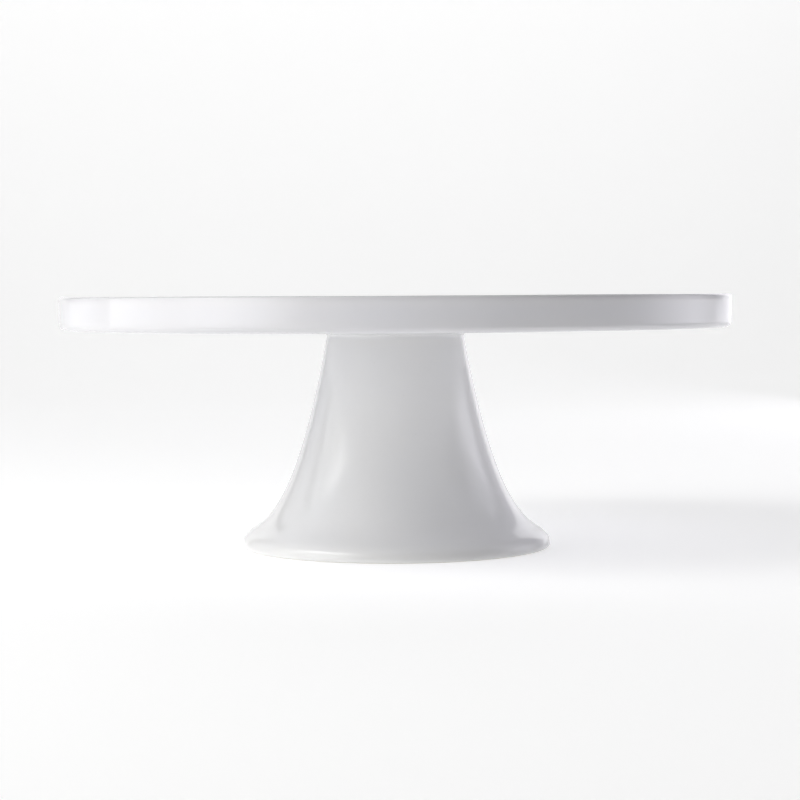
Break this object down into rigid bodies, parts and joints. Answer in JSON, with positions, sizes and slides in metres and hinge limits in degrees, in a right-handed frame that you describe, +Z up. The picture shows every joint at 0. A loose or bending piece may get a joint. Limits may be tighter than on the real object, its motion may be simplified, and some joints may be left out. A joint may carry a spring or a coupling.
{
  "type": "cake stand",
  "caption": "Footed cake stand in white glazed porcelain: a flat round plate with a low upright rim, luted to a hollow trumpet-shaped pedestal.",
  "frame": {"origin": "centre of the circle the foot ring rests on, at table level", "axes": "+Z up along the axis the stand is turned about; the stand is round, so X and Y are free"},
  "size_m": [0.3, 0.3, 0.113],
  "materials": {
    "plate_glaze": "clear gloss glaze over white porcelain",
    "pedestal_glaze": "clear gloss glaze over white porcelain",
    "luting_slip": "fired porcelain slip under the same gloss glaze"
  },
  "bodies": {
    "root": {"cake_plate": "plate_glaze", "pedestal": "pedestal_glaze", "luting_ring": "luting_slip"}
  },
  "joints": []
}
